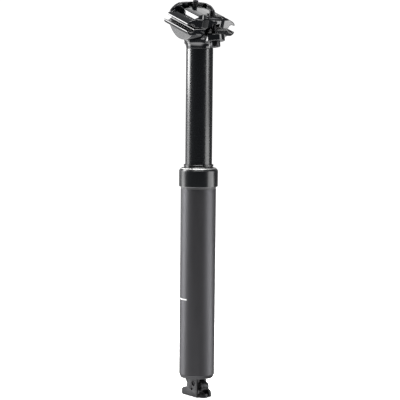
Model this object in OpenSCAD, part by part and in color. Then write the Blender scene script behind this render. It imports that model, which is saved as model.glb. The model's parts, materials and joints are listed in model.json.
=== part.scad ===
// Dropper seatpost: a telescoping bicycle seatpost with a two-bolt saddle clamp,
// a locking gas cartridge inside and a cable-pulled release lever at its foot.
// The origin is on the post's axis at the collar's lower edge. +Z is up along the
// post and +X points to the front of the bicycle.

/* [Lower tube] */
// Outside diameter of the lower tube
post_d = 31.6; // [30.9:0.1:34.9]
// Wall of the lower tube
post_wall = 1.9; // [1.7:0.1:2.1]
// Length of the lower tube below the collar
post_len = 172; // [168:1:200]
// Height of the taper at the tube's foot
foot_taper_h = 3.2; // [2.5:0.1:4]
// How far the taper draws the foot in
foot_taper = 1.3; // [0.8:0.1:1.4]

/* [Collar] */
// Outside diameter of the collar
collar_d = 34.8; // [34:0.1:39]
// Height of the collar
collar_h = 17; // [16.5:0.1:20]
// Height of the wiper's lip above the collar
wiper_lip_h = 2.7; // [2:0.1:4]
// Length of the tube's threaded neck inside the collar
neck_h = 9.3; // [8:0.1:9.5]
// Wall of the tube's threaded neck
neck_wall = 1; // [0.8:0.1:1.2]

/* [Stanchion] */
// Outside diameter of the stanchion
stanchion_d = 24; // [23.6:0.1:24.4]
// Wall of the stanchion
stanchion_wall = 1.7; // [1.5:0.1:1.9]
// Travel of the saddle
travel = 100; // [80:1:100]
// Stanchion left showing when the post is fully dropped
top_gap = 2.7; // [2:0.1:8]
// Length of the stanchion below the collar's lower edge
stanchion_tail = 52; // [50:1:53]

/* [Guides and keys] */
// Length of the upper guide bush below the collar's lower edge
upper_bush_len = 18.7; // [14:0.1:19]
// Length of the guide bush on the stanchion's foot
foot_bush_len = 12; // [8:0.5:12.5]
// Radius of an anti-rotation key
key_r = 1.5; // [1.2:0.1:1.6]
// Length of an anti-rotation key
key_len = 12; // [8:0.5:12.5]
// Number of anti-rotation keys
key_count = 3; // [2:1:4]

/* [Saddle clamp] */
// Height of the clamp's tilting centre above the head's base
pivot_rise = 29.6; // [29:0.1:31]
// Distance of the tilting centre in front of the post's axis
pivot_fore = 2; // [1:0.1:3]
// Depth of the rails' centre plane below the tilting centre
rail_drop = 7; // [6.6:0.1:7.4]
// Nose-down tilt of the clamp against the post
tilt = 18; // [14:0.5:20]
// Distance between the two saddle rails
rail_spacing = 44; // [43:0.5:46]
// Diameter of a saddle rail
rail_d = 7; // [6.8:0.1:7.2]
// Half the length of the rail grooves
clamp_half_len = 18.4; // [18.2:0.1:19]
// Half the width of the clamp over its lips
clamp_half_w = 26; // [25.6:0.1:28]
// Gap between the upper and lower lips at the rail's outer side
lip_gap = 5; // [4:0.1:5.4]
// Radius of the cradle's round underside
cradle_r = 22; // [21.6:0.1:22.2]
// Half the width of the cradle's round underside
cradle_half_w = 20.5; // [19:0.1:21]
// Height of the upper clamp's rear hood above the rails' plane
hood_h = 14.2; // [13.6:0.1:14.4]
// Height of the upper clamp's crown above the rails' plane
crown_h = 11.6; // [11.4:0.1:12]
// How far the upper clamp stops short of the grooves' rear end
rear_setback = 3.8; // [3:0.1:4]
// How far the upper clamp's prow reaches beyond the grooves' front end
prow_reach = 5.3; // [5.2:0.1:5.8]

/* [Clamp bolts] */
// Radius of a clamp bolt's thread
bolt_r = 2.5; // [2.4:0.05:2.6]
// Radius of a clamp bolt's head
bolt_head_r = 4.3; // [4:0.1:4.4]
// Height of a clamp bolt's head
bolt_head_h = 4.3; // [3.5:0.1:5]
// Distance of the front bolt's swivel centre in front of the tilting centre
front_span = 21; // [20.6:0.1:21.4]
// Distance of the rear bolt's swivel centre behind the tilting centre
rear_span = 18; // [17.6:0.1:18.6]
// Height of the front bolt's swivel centre above the head's base
front_seat_rise = 2.2; // [1.8:0.1:3]
// Height of the rear bolt's swivel centre above the head's base
rear_seat_rise = 4.6; // [4.2:0.1:5]
// Radius of the dished seat under a bolt's head
dish_r = 6; // [5.6:0.1:6.2]
// Distance of the front barrel nut's centre from the grooves' front end
front_nut_inset = 0.9; // [0.7:0.1:1.2]
// Distance of the rear barrel nut's centre from the grooves' rear end
rear_nut_inset = 6.9; // [6.7:0.1:7.2]
// Height of a barrel nut above the rails' plane
nut_w = 8; // [7.6:0.1:8.2]
// Radius of a barrel nut
nut_r = 3.5; // [3.3:0.05:3.6]
// Length of a barrel nut
nut_len = 14; // [12:0.1:14.4]
// Length of the front bolt that stands out beyond its nut's centre
front_tail = 8.4; // [7:0.1:9]
// Length of the rear bolt that stands out beyond its nut's centre
rear_tail = 9; // [7:0.1:9.5]
// Tilt that the clamp can be set to from rest, each way
tilt_play = 6; // [2:0.5:7]

/* [Head] */
// Length of the head's spigot inside the stanchion
spigot_len = 18; // [15:0.5:20]
// Radius of the head's flared neck
flare_r = 13.5; // [13.2:0.1:14.2]
// Height over which the neck flares
flare_h = 5.2; // [4.4:0.1:5.6]
// Radius of a bolt boss on the head
boss_r = 8.8; // [8:0.1:9]
// Height of a bolt boss along its bolt, from its underside
boss_h = 5.6; // [5.4:0.1:7]

/* [Cartridge] */
// Outside radius of the cartridge
cart_r = 8.2; // [7.8:0.1:9]
// Wall of the cartridge
cart_wall = 0.8; // [0.6:0.1:0.9]
// Bore radius of the cartridge's inner tube
inner_bore_r = 5; // [4.8:0.1:5.2]
// Wall of the cartridge's inner tube
inner_wall = 0.8; // [0.6:0.1:1]
// Depth of the cartridge's top below the collar's lower edge
cart_top_drop = 2; // [2:0.1:10]
// Radius of the piston rod
rod_r = 3.5; // [3:0.1:3.8]
// Length of rod screwed into the head's spigot
rod_thread = 13.6; // [10:0.1:14]
// Height of the rod's lock nut
rod_nut_h = 4; // [3:0.1:4.2]
// Length of the piston
piston_len = 7; // [5:0.5:9]
// Length of the rod gland
gland_len = 9.4; // [8:0.1:10]
// Length of the valve block inside the cartridge
valve_len = 10; // [8:0.5:12]
// Length of the annular floating piston
float_len = 8; // [6:0.5:10]
// Radius of the release pin
pin_r = 1.5; // [1.2:0.1:1.6]

/* [Foot and release lever] */
// Thickness of the base plug
plug_h = 9; // [8:0.5:12]
// Height of the base plug's lower face above the tube's foot
plug_rise = 7; // [6.8:0.1:8]
// Thickness of the yoke's flange
yoke_flange_h = 3.7; // [3:0.1:3.7]
// Half the width of the yoke over its cheeks
yoke_half_w = 6.2; // [6:0.1:6.6]
// Thickness of a cheek
cheek_t = 2.5; // [2.2:0.1:2.6]
// Reach of a cheek's straight edge from the axis
cheek_straight = 9; // [8.4:0.1:9.4]
// Reach of a cheek's waist from the axis
cheek_waist = 6.4; // [6:0.1:6.8]
// Reach of the yoke's foot from the axis
foot_reach = 14; // [13:0.1:14.2]
// Depth of the yoke below the tube's foot
yoke_drop = 17.4; // [17:0.1:19]
// Thickness of the yoke's foot
yoke_foot_h = 3.6; // [3.2:0.1:3.8]
// Fore and aft place of the lever's pivot
pivot_x = 3.6; // [3.2:0.1:4]
// Depth of the lever's pivot below the tube's foot
pivot_drop = 4.6; // [4.4:0.1:5]
// Radius of the lever's pivot pin
pivot_pin_r = 1.5; // [1.2:0.1:1.6]
// Fore and aft place of the cable
cable_x = 10.2; // [10:0.1:10.6]
// Depth of the cable-end socket below the tube's foot
socket_drop = 7.2; // [7:0.1:7.4]
// Radius of the cable-end socket
socket_r = 2.3; // [2.2:0.05:2.4]
// Radius of the seat for the cable's housing
housing_r = 2.55; // [2.4:0.05:2.6]
// Depth of the seat for the cable's housing
housing_depth = 2.6; // [2:0.1:2.6]

/* [Hidden] */
$fn = 96;
eps = 0.01;
cut = 1;
// Running clearance between sliding faces, on the radius
run_gap = 0.05;
// Glue, thread or press gap between fixed faces, on the radius
bond_gap = 0.02;
// Gap kept between parts that move past each other
move_gap = 0.3;

post_r = post_d / 2;
bore_r = post_r - post_wall;
neck_r = bore_r + neck_wall;
collar_r = collar_d / 2;
foot_z = -post_len;

stanchion_r = stanchion_d / 2;
stanchion_bore_r = stanchion_r - stanchion_wall;
wiper_top_z = collar_h + wiper_lip_h;
head_z = wiper_top_z + travel + top_gap;
tail_z = -stanchion_tail;

// Collar and wiper
collar_foot_bevel = 0.9;
collar_top_bevel = 2.5;
wiper_seat_r = bore_r + 0.6;
wiper_mouth_r = bore_r - 0.2;
wiper_seat_top = collar_h - 1.6;
bush_flange_h = 1.4;
wiper_seat_z = neck_h + bush_flange_h + 0.1;

// Guides on the stanchion's foot, from its end upwards
foot_ring_h = 2;
foot_ring_w = 1.2;
foot_bush_z = tail_z + foot_ring_h;
key_z = foot_bush_z + foot_bush_len + 2;
bumper_z = key_z + key_len + 1;
bumper_top_z = -upper_bush_len - move_gap;
key_c = (stanchion_r + bore_r) / 2;
keyway_r = key_r + run_gap;
keyway_z = foot_z + plug_rise + plug_h + 1;

// Saddle clamp, which tilts about a point above the rails
pivot_z = head_z + pivot_rise;
rail_y = rail_spacing / 2;
rail_r = rail_d / 2;
jaw_gap = 1;
trough_r = cradle_r + move_gap;
bolt_notch_half_w = bolt_r + 3.5;
function nut_u(end) = clamp_half_len - (end > 0 ? front_nut_inset : rear_nut_inset);
function window_half_w(end) = nut_len / 2 + (end > 0 ? 0.6 : 6.4);
pocket_y = rail_y - 7.5;
pocket_w = 6.1;
pocket_floor = rail_r + 1.1;
pocket_draft = 14;

// Draft of the cradle's side faces, in degrees
lobe_draft = 6;

// Outline across the upper clamp, lip to middle: offset inward from the lip, share of the height
jaw_flank = [
    [0, 0.31], [0.5, 0.37], [1.6, 0.455], [3.2, 0.55], [5.4, 0.63], [11.5, 0.86], [15, 0.93], [19, 0.98]
];
hood_flank = [[0.8, 0.32], [1.8, 0.46], [3.8, 0.65], [7, 0.84], [11, 0.95], [16.5, 0.986]];

// Half the upper clamp's plan, rear to prow: place along the rails, share of the half width
rear_u = rear_setback - clamp_half_len;
prow_u = clamp_half_len + prow_reach;
jaw_plan = [
    [rear_u - 2.6, 0], [rear_u - 2.4, 0.23], [rear_u - 1.6, 0.54], [rear_u - 0.6, 0.77], [rear_u, 1],
    [clamp_half_len - 1.6, 1], [clamp_half_len - 0.4, 0.73], [clamp_half_len + 0.4, 0.455],
    [prow_u - 3.3, 0.39], [prow_u - 1.5, 0.31], [prow_u - 0.4, 0.18], [prow_u, 0]
];

// Half widths of the bar round the front nut, at its foot and its top, and its heights there
nut_bar_foot = nut_len / 2 + 5.6;
nut_bar_top = nut_len / 2 + 1.2;
nut_bar_foot_h = crown_h * 0.64;
nut_bar_top_h = crown_h * 0.97;
arch_half_w = 9.3;
arch_h = 3.2;
arch_r = (pow(arch_half_w, 2) + pow(arch_h, 2)) / 2 / arch_h;

// Bolts swivel about a point below their dished seat and pass through their nuts
function seat_x(end) = pivot_fore + (end > 0 ? front_span : -rear_span);
function seat_z(end) = head_z + (end > 0 ? front_seat_rise : rear_seat_rise);
boss_foot = 4;
bolt_play = 0.9;
bolt_hole_r = bolt_r + bolt_play;
washer_r = bolt_head_r + 0.1;
washer_foot = 3.4;
nut_bore_r = bolt_r + 0.35;
function nut_x(end) = pivot_fore + end * nut_u(end) * cos(tilt) + (nut_w - rail_drop) * sin(tilt);
function nut_z(end) = pivot_z - end * nut_u(end) * sin(tilt) + (nut_w - rail_drop) * cos(tilt);
function bolt_lean(end) = atan2(nut_x(end) - seat_x(end), nut_z(end) - seat_z(end));
function bolt_tail(end) = end > 0 ? front_tail : rear_tail;
function bolt_reach(end) = norm([nut_x(end) - seat_x(end), nut_z(end) - seat_z(end)]);

// Turn of a bolt for each degree of clamp tilt, and the bolt's leans within the clamp's own frame
function bolt_follow(end) = [nut_x(end) - seat_x(end), nut_z(end) - seat_z(end)]
    * [nut_x(end) - pivot_fore, nut_z(end) - pivot_z] / pow(bolt_reach(end), 2);
function path_low(end) = bolt_lean(end) - tilt - tilt_play * (1 - bolt_follow(end));
function path_high(end) = bolt_lean(end) - tilt + tilt_play * (1 - bolt_follow(end));

// Lean of the inner wall of a bolt's notch in the cradle, clear of the bolt all the way down
function inward_lean(end) = end > 0 ? path_high(end) : -path_low(end);
function notch_depth(end) = nut_w + (inward_lean(end) > 0 ? cradle_r - rail_drop : jaw_gap / 2);
notch_play = 0.2;
function bolt_notch_u(end) = nut_u(end) - bolt_hole_r - notch_play - tan(inward_lean(end)) * notch_depth(end);

// Cartridge, standing on the base plug
plug_z = foot_z + plug_rise;
cart_z = plug_z + plug_h;
cart_top_z = -cart_top_drop;
cart_bore_r = cart_r - cart_wall;
inner_r = inner_bore_r + inner_wall;
valve_top_z = cart_z + valve_len;
valve_nose_r = cart_bore_r - 1.4;
gland_z = cart_top_z - gland_len - 0.6;
gland_spigot = 3;
piston_top_z = gland_z - gland_spigot - 0.5;
piston_z = piston_top_z - piston_len;
spigot_z = head_z - spigot_len;
rod_nut_z = spigot_z - rod_nut_h - 0.2;
rod_nut_af = 2 * rod_r + 6;
float_z = valve_top_z + 14;
seal_r = 0.9;
seal_depth = 1.2;

// Yoke and lever
yoke_flange_z = plug_z - 0.1 - yoke_flange_h;
circlip_h = 1.2;
circlip_z = yoke_flange_z - 0.1 - circlip_h;
circlip_bite = 0.5;
flare_start = yoke_drop - yoke_foot_h - 4.2;
flare_end = yoke_drop - yoke_foot_h - 0.2;
slot_half_w = yoke_half_w - cheek_t;
lever_half_w = slot_half_w - move_gap;
pin_drop = 1.3;
lever_play = 0.1;
nose_r = 1.3;
nose_drop = pin_drop + lever_play + nose_r;
pivot_boss_r = pivot_pin_r + 1.5;
socket_boss_r = socket_r + 1.4;
cable_r = 0.9;
housing_boss_r = housing_r + 1.4;
pivot_dish_r = pivot_pin_r + 0.9;
pivot_dish_t = 1.1;
lock_hole_r = 1.1;
lock_hole_x = 1;
lock_hole_drop = pivot_drop + 6;

anodised_grey = [0.24, 0.24, 0.25];
gloss_black = [0.05, 0.05, 0.06];
satin_black = [0.12, 0.12, 0.13];
rubber_black = [0.03, 0.03, 0.03];
bare_steel = [0.62, 0.63, 0.65];
brass_yellow = [0.75, 0.58, 0.26];
bush_beige = [0.72, 0.66, 0.5];

// Helpers

// A ring about the post's axis.
module ring(r_out, r_in, z, h) {
    translate([0, 0, z]) difference() {
        cylinder(r = r_out, h = h);
        translate([0, 0, -cut]) cylinder(r = r_in, h = h + 2 * cut);
    }
}

// A round cord bent into a ring about the post's axis.
module o_ring(r_mid, r_cord, z) {
    translate([0, 0, z]) rotate_extrude() translate([r_mid, 0]) circle(r = r_cord, $fn = 32);
}

// A bar across the post, along Y.
module cross_bar(r, half_len) {
    rotate([90, 0, 0]) cylinder(r = r, h = 2 * half_len, center = true);
}

// Children placed in the saddle clamp's own frame, with X along the rails and Z square to their plane.
module in_clamp() {
    translate([pivot_fore, 0, pivot_z]) rotate([0, tilt, 0]) translate([0, 0, -rail_drop]) children();
}

// Children placed at a bolt's swivel centre, with Z along the bolt. end is 1 in front and -1 behind.
module on_bolt(end) {
    translate([seat_x(end), 0, seat_z(end)]) rotate([0, bolt_lean(end), 0]) children();
}

// A bar along the clamp's length with the given outline across it: X of the outline is the clamp's Y.
module along_rails(half_len) {
    rotate([90, 0, 90]) translate([0, 0, -half_len]) linear_extrude(2 * half_len) children();
}

// A plate square to Y with its outline in X and Z.
module upright_plate(y_low, y_high) {
    translate([0, y_high, 0]) rotate([90, 0, 0]) linear_extrude(y_high - y_low) children();
}

// Straight flanks between two circles, a hair inside their common tangents so that they cut the circles.
module link_flanks(a, r_a, b, r_b) {
    inset = 0.03;
    bearing = atan2(b[1] - a[1], b[0] - a[0]);
    slope = acos((r_a - r_b) / norm(b - a));
    polygon([
        for (at = [[a, r_a, slope], [a, r_a, -slope], [b, r_b, -slope], [b, r_b, slope]])
            at[0] + (at[1] - inset) * [cos(bearing + at[2]), sin(bearing + at[2])]
    ]);
}

// Lower half

// Outer tube with its threaded neck, its keyways and the circlip's groove.
module lower_tube() {
    color(anodised_grey) difference() {
        rotate_extrude() polygon([
            [0, foot_z], [post_r - foot_taper, foot_z], [post_r, foot_z + foot_taper_h],
            [post_r, 0], [neck_r, 0], [neck_r, neck_h], [0, neck_h]
        ]);
        translate([0, 0, foot_z - cut]) cylinder(r = bore_r, h = post_len + neck_h + 2 * cut);
        for (i = [0 : key_count - 1])
            rotate(360 / key_count * i) translate([key_c, 0, keyway_z])
                cylinder(r = keyway_r, h = bumper_z - 1 + eps - keyway_z);
        ring(bore_r + circlip_bite + run_gap, bore_r - cut, circlip_z - run_gap, circlip_h + 2 * run_gap);
    }
}

// Collar screwed on the tube's neck, which holds the wiper down.
module collar() {
    top_r = wiper_mouth_r + 0.8;
    color(gloss_black) difference() {
        rotate_extrude() polygon([
            [0, 0], [collar_r - collar_foot_bevel, 0], [collar_r, collar_foot_bevel],
            [collar_r, collar_h - collar_top_bevel],
            for (a = [15 : 15 : 90])
                [top_r + (collar_r - top_r) * cos(a), collar_h - collar_top_bevel * (1 - sin(a))],
            [0, collar_h]
        ]);
        translate([0, 0, -cut]) cylinder(r = neck_r + bond_gap, h = neck_h + cut + 0.1);
        translate([0, 0, neck_h]) cylinder(r = wiper_seat_r + bond_gap, h = wiper_seat_top - neck_h);
        translate([0, 0, wiper_seat_top - cut]) cylinder(r = wiper_mouth_r + bond_gap, h = collar_h);
    }
}

// Rubber wiper with a flared lip round the stanchion.
module wiper_seal() {
    lip_r = stanchion_r + run_gap;
    waist_r = lip_r + 0.7;
    color(rubber_black) rotate_extrude() polygon([
        [lip_r, wiper_seat_z], [wiper_seat_r, wiper_seat_z], [wiper_seat_r, wiper_seat_top - 0.1],
        [wiper_mouth_r, wiper_seat_top - 0.1], [wiper_mouth_r, collar_h],
        for (a = [0 : 30 : 90])
            [
                wiper_mouth_r - (wiper_mouth_r - waist_r) * sin(a),
                collar_h + 0.4 * wiper_lip_h * (1 - cos(a))
            ],
        [lip_r + 1.25, wiper_top_z - 0.35], [lip_r + 1.05, wiper_top_z], [lip_r, wiper_top_z - 0.7]
    ]);
}

// Guide bush in the tube's mouth, with a flange on the neck's rim.
module upper_bush() {
    color(bush_beige) difference() {
        union() {
            translate([0, 0, -upper_bush_len])
                cylinder(r = bore_r - run_gap, h = upper_bush_len + neck_h + eps);
            translate([0, 0, neck_h + eps]) cylinder(r = wiper_seat_r - bond_gap, h = bush_flange_h);
        }
        translate([0, 0, -upper_bush_len - cut])
            cylinder(r = stanchion_r + run_gap, h = upper_bush_len + neck_h + bush_flange_h + 2 * cut);
    }
}

// Plug screwed into the tube's foot, which carries the cartridge.
module base_plug() {
    color(satin_black) ring(bore_r - bond_gap, valve_nose_r + bond_gap, plug_z, plug_h);
}

// Split ring that keeps the yoke's flange in the tube.
module base_circlip() {
    mouth = 4;
    color(bare_steel) difference() {
        ring(bore_r + circlip_bite, bore_r - 1.5, circlip_z, circlip_h);
        translate([0, -mouth / 2, circlip_z - cut]) cube([post_d, mouth, circlip_h + 2 * cut]);
    }
}

// Cartridge

// Outer tube of the cartridge.
module cartridge_tube() {
    color(bare_steel) ring(cart_r, cart_bore_r, cart_z + bond_gap, cart_top_z - cart_z - bond_gap);
}

// Inner tube in which the piston runs.
module cartridge_inner_tube() {
    color(bare_steel)
        ring(inner_r, inner_bore_r, valve_top_z + bond_gap, gland_z - valve_top_z - 2 * bond_gap);
}

// Guide and stopper at the cartridge's top, with a groove for the rod's seal.
module rod_gland() {
    color(satin_black) difference() {
        union() {
            translate([0, 0, gland_z]) cylinder(r = cart_bore_r - bond_gap, h = gland_len);
            translate([0, 0, gland_z - gland_spigot])
                cylinder(r = inner_bore_r - bond_gap, h = gland_spigot + eps);
        }
        translate([0, 0, gland_z - gland_spigot - cut])
            cylinder(r = rod_r + run_gap, h = gland_len + gland_spigot + 2 * cut);
        ring(rod_r + 2 * seal_r + run_gap, rod_r - cut, gland_z + gland_len / 2 - seal_depth, 2 * seal_depth);
    }
}

// Rubber ring in the gland, round the rod.
module rod_seal() {
    color(rubber_black) o_ring(rod_r + seal_r + run_gap, seal_r, gland_z + gland_len / 2);
}

// Valve block that closes the cartridge's foot, with a threaded nose in the plug.
module valve_block() {
    port_r = 0.8;
    color(bare_steel) difference() {
        union() {
            translate([0, 0, cart_z + bond_gap])
                cylinder(r = cart_bore_r - bond_gap, h = valve_len - bond_gap);
            translate([0, 0, plug_z]) cylinder(r = valve_nose_r, h = plug_h + bond_gap + eps);
        }
        translate([0, 0, plug_z - cut]) cylinder(r = pin_r + run_gap, h = plug_h + valve_len + 2 * cut);
        for (a = [45 : 90 : 315])
            rotate(a) translate([(pin_r + inner_bore_r) / 2, 0, valve_top_z - 4])
                cylinder(r = port_r, h = 4 + cut, $fn = 24);
    }
}

// Ring-shaped piston between the cartridge's tubes, which parts the gas from the oil.
module floating_piston() {
    groove_z = float_z + float_len / 2 - seal_depth / 2;
    color(satin_black) difference() {
        ring(cart_bore_r - run_gap, inner_r + run_gap, float_z, float_len);
        ring(cart_r, (cart_bore_r + inner_r) / 2, groove_z, seal_depth);
    }
}

// Flat rubber ring in the floating piston's groove.
module floating_piston_seals() {
    groove_z = float_z + float_len / 2 - seal_depth / 2;
    color(rubber_black)
        ring(
            cart_bore_r - bond_gap, (cart_bore_r + inner_r) / 2 + bond_gap, groove_z + 0.1, seal_depth - 0.2
        );
}

// Release valve's stem, which the lever lifts.
module release_pin() {
    color(bare_steel) translate([0, 0, foot_z - pin_drop])
        cylinder(r = pin_r, h = valve_top_z - 2.2 - foot_z + pin_drop);
}

// Yoke and lever

// Outline of one cheek in X and depth: straight in front, waisted behind above a hooked foot.
module cheek_outline() {
    top = yoke_flange_z - foot_z + eps;
    curve = flare_end - flare_start;
    polygon([
        [cheek_straight, top], [cheek_straight, -yoke_drop],
        [-foot_reach + 1.2, -yoke_drop], [-foot_reach, -yoke_drop + 1.2], [-foot_reach, -flare_end],
        for (a = [15 : 15 : 90])
            [-foot_reach + (foot_reach - cheek_waist) * (1 - cos(a)), -flare_end + curve * sin(a)],
        [-cheek_waist, top]
    ]);
}

// Forked foot that carries the lever and stops the cable's housing.
module actuator_yoke() {
    gusset_y = -slot_half_w - cheek_t * 0.6;
    foot_top = foot_z - yoke_drop;
    color(satin_black) difference() {
        union() {
            translate([0, 0, yoke_flange_z]) cylinder(r = bore_r - run_gap, h = yoke_flange_h);
            for (turn = [0, 180]) rotate(turn) translate([0, 0, foot_z])
                upright_plate(-yoke_half_w, -slot_half_w) cheek_outline();
            translate([0, 0, foot_z]) upright_plate(gusset_y, -slot_half_w)
                polygon([[-cheek_waist + eps, -0.4], [-cheek_waist - 6, -0.4], [-cheek_waist + eps, -7.4]]);
            translate([0, 0, foot_top]) linear_extrude(yoke_foot_h) {
                polygon([
                    [-foot_reach + 1.2, -yoke_half_w], [cheek_straight, -yoke_half_w],
                    [foot_reach - 1.2, yoke_half_w], [-cheek_straight, yoke_half_w]
                ]);
                translate([cable_x, 0]) circle(r = housing_boss_r);
            }
        }
        translate([0, 0, yoke_flange_z - cut]) cylinder(r = pin_r + 0.7, h = yoke_flange_h + 2 * cut);
        translate([pivot_x, 0, foot_z - pivot_drop]) {
            cross_bar(pivot_pin_r + bond_gap, post_r);
            for (side = [-1, 1]) translate([0, side * (yoke_half_w - pivot_dish_t / 2 + cut / 2), -0.6])
                cross_bar(pivot_dish_r, (pivot_dish_t + cut) / 2);
        }
        translate([lock_hole_x, 0, foot_z - lock_hole_drop]) cross_bar(lock_hole_r, post_r);
        translate([cable_x, 0, foot_top - cut]) {
            cylinder(r = housing_r, h = housing_depth + cut);
            cylinder(r = cable_r, h = yoke_foot_h + 2 * cut);
        }
    }
}

// Pin on which the lever turns, with peened ends sunk in the cheeks.
module lever_pivot_pin() {
    peen_t = 0.6;
    color(bare_steel) translate([pivot_x, 0, foot_z - pivot_drop]) {
        cross_bar(pivot_pin_r, yoke_half_w - pivot_dish_t + eps);
        for (side = [-1, 1]) translate([0, side * (yoke_half_w - pivot_dish_t + peen_t / 2), 0])
            cross_bar(pivot_pin_r + 0.25, peen_t / 2);
    }
}

// Rocking lever: its nose lifts the release pin when the cable pulls its socket down.
module actuator_lever() {
    nose = [0, -nose_drop];
    pivot = [pivot_x, -pivot_drop];
    socket = [cable_x, -socket_drop];
    color(satin_black) translate([0, 0, foot_z]) difference() {
        upright_plate(-lever_half_w, lever_half_w) {
            translate(nose) circle(r = nose_r);
            link_flanks(nose, nose_r, pivot, pivot_boss_r);
            translate(pivot) circle(r = pivot_boss_r);
            link_flanks(pivot, pivot_boss_r, socket, socket_boss_r);
            translate(socket) circle(r = socket_boss_r);
        }
        translate([pivot_x, 0, -pivot_drop]) cross_bar(pivot_pin_r + run_gap, post_r);
        translate([cable_x, 0, -socket_drop]) cross_bar(socket_r, post_r);
        translate([cable_x - cable_r, -cable_r, -socket_drop - 2 * socket_boss_r])
            cube([2 * cable_r, 2 * cable_r, 2 * socket_boss_r]);
    }
}

// Upper half

// Inner tube, with pockets for the keys near its foot.
module stanchion() {
    color(gloss_black) difference() {
        ring(stanchion_r, stanchion_bore_r, tail_z, head_z - tail_z);
        for (i = [0 : key_count - 1])
            rotate(360 / key_count * i) translate([key_c, 0, key_z - run_gap])
                cylinder(r = key_r + bond_gap, h = key_len + 2 * run_gap);
        ring(stanchion_r + cut, stanchion_r - 0.5, tail_z + 0.2, foot_ring_h - 0.2);
    }
}

// Guide bush on the stanchion's foot.
module foot_bush() {
    color(bush_beige) ring(bore_r - run_gap, stanchion_r + bond_gap, foot_bush_z + 0.05, foot_bush_len);
}

// Snap ring that keeps the foot bush on.
module foot_ring() {
    color(bare_steel)
        ring(
            stanchion_r - 0.5 + bond_gap + foot_ring_w, stanchion_r - 0.5 + bond_gap,
            tail_z + 0.25, foot_ring_h - 0.3
        );
}

// Brass rods that stop the stanchion turning.
module anti_rotation_keys() {
    color(brass_yellow) for (i = [0 : key_count - 1])
        rotate(360 / key_count * i) translate([key_c, 0, key_z]) cylinder(r = key_r, h = key_len);
}

// Rubber ring that meets the upper bush at full height.
module top_out_bumper() {
    color(rubber_black) ring(bore_r - 0.4, stanchion_r + bond_gap, bumper_z, bumper_top_z - bumper_z);
}

// Rod from the piston to the head.
module piston_rod() {
    color(bare_steel) translate([0, 0, piston_z]) cylinder(r = rod_r, h = spigot_z + rod_thread - piston_z);
}

// Nut that locks the rod against the head's spigot.
module rod_lock_nut() {
    color(bare_steel) difference() {
        translate([0, 0, rod_nut_z]) cylinder(r = rod_nut_af / 2 / cos(30), h = rod_nut_h, $fn = 6);
        translate([0, 0, rod_nut_z - cut]) cylinder(r = rod_r + bond_gap, h = rod_nut_h + 2 * cut);
    }
}

// Piston on the rod's lower end.
module piston() {
    groove_z = piston_z + piston_len / 2 - seal_depth / 2;
    color(satin_black) difference() {
        ring(inner_bore_r - run_gap, rod_r + bond_gap, piston_z, piston_len);
        ring(inner_r, inner_bore_r - 0.7, groove_z, seal_depth);
    }
}

// Flat rubber ring in the piston's groove.
module piston_seal() {
    groove_z = piston_z + piston_len / 2 - seal_depth / 2;
    color(rubber_black)
        ring(inner_bore_r - bond_gap, inner_bore_r - 0.7 + bond_gap, groove_z + 0.1, seal_depth - 0.2);
}

// Head and saddle clamp

// Forged head: a spigot in the stanchion, a flared neck and two bolt bosses round a trough.
module head() {
    neck_top = flare_h + 8;
    rim_out = 1.6;
    web_half_w = boss_r - 1.2;
    web_arch = 3;
    head_room = 0.9;
    color(gloss_black) difference() {
        union() {
            translate([0, 0, spigot_z]) cylinder(r = stanchion_bore_r - bond_gap, h = spigot_len + eps);
            translate([0, 0, head_z]) rotate_extrude() polygon([
                [0, 0], [stanchion_r, 0],
                for (t = [0.2 : 0.2 : 1]) [stanchion_r + (flare_r - stanchion_r) * t * t, flare_h * t],
                [flare_r + rim_out, neck_top], [0, neck_top]
            ]);
            for (end = [-1, 1]) {
                foot = seat_z(end) + boss_foot - 0.2;
                upright_plate(-web_half_w, web_half_w) polygon([
                    [0, foot + web_arch], [end * (flare_r - 2), foot + web_arch], [seat_x(end), foot],
                    [seat_x(end) - end * 2, foot + boss_h], [0, foot + boss_h + web_arch]
                ]);
                on_bolt(end) translate([0, 0, boss_foot]) cylinder(r = boss_r, h = boss_h);
            }
        }
        translate([pivot_fore, 0, pivot_z]) cross_bar(trough_r, post_d);
        for (end = [-1, 1]) {
            on_bolt(end) sphere(r = dish_r + 0.1);
            on_bolt(end) translate([0, 0, -dish_r]) cylinder(r = washer_r + head_room, h = dish_r);
            on_bolt(end) cylinder(r = bolt_hole_r, h = boss_foot + boss_h + 6);
        }
        translate([0, 0, spigot_z - cut]) cylinder(r = rod_r + bond_gap, h = rod_thread + cut + 0.1);
    }
}

// Both rails, as bars to be cut away.
module rail_bars() {
    for (side = [-1, 1]) translate([0, side * rail_y, 0])
        rotate([0, 90, 0]) cylinder(r = rail_r, h = 4 * clamp_half_len, center = true);
}

// Round-bellied cradle in the head's trough, with the rails' lower grooves.
module lower_cradle() {
    lip_z = -lip_gap / 2;
    belly_depth = 2 * cradle_r;
    belly_half_w = cradle_half_w - belly_depth * tan(lobe_draft);
    color(gloss_black) in_clamp() difference() {
        union() {
            intersection() {
                translate([0, 0, rail_drop]) cross_bar(cradle_r, cradle_half_w);
                along_rails(clamp_half_len) polygon([
                    [cradle_half_w, -jaw_gap / 2], [belly_half_w, -belly_depth],
                    [-belly_half_w, -belly_depth], [-cradle_half_w, -jaw_gap / 2]
                ]);
            }
            for (side = [-1, 1]) mirror([0, side < 0 ? 1 : 0, 0]) along_rails(clamp_half_len) polygon([
                [cradle_half_w - 4, -jaw_gap / 2], [rail_y - rail_r + 0.5, -jaw_gap / 2],
                [rail_y, lip_z], [clamp_half_w, lip_z], [clamp_half_w, lip_z - 1.1],
                [clamp_half_w - 1.3, lip_z - 3], [rail_y + 0.4, lip_z - 4], [cradle_half_w - 4, lip_z - 4]
            ]);
        }
        rail_bars();
        for (end = [-1, 1]) translate([end * (bolt_notch_u(end) + cradle_r), 0, 0])
            cube([2 * cradle_r, 2 * bolt_notch_half_w, 4 * cradle_r], center = true);
    }
}

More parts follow.
